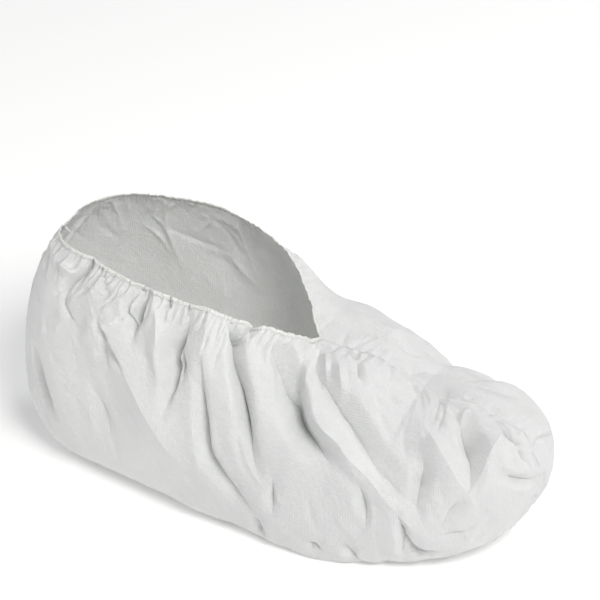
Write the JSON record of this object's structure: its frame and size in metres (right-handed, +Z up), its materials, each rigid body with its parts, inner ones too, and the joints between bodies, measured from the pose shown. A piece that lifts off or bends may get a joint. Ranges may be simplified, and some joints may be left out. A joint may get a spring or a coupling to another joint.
{
  "type": "shoe cover",
  "caption": "Disposable white fabric shoe cover standing open, with gathered elastic opening, puckered centre seam from instep to toe and heel, and crumpled sides.",
  "frame": {"origin": "middle of the cover's footprint, on the sole", "axes": "+X towards the toe, +Y to the wearer's left, +Z up"},
  "size_m": [0.339, 0.1616, 0.1525],
  "materials": {
    "laminated_nonwoven": "crisp matt white film-laminated nonwoven with a faint fine emboss",
    "elastic_hem": "matt creamy white cloth gathered in fine pleats over elastic"
  },
  "bodies": {
    "root": {"side_panel_right": "laminated_nonwoven", "side_panel_left": "laminated_nonwoven", "toe_seam": "laminated_nonwoven", "heel_seam": "laminated_nonwoven", "opening_hem": "elastic_hem"}
  },
  "joints": []
}
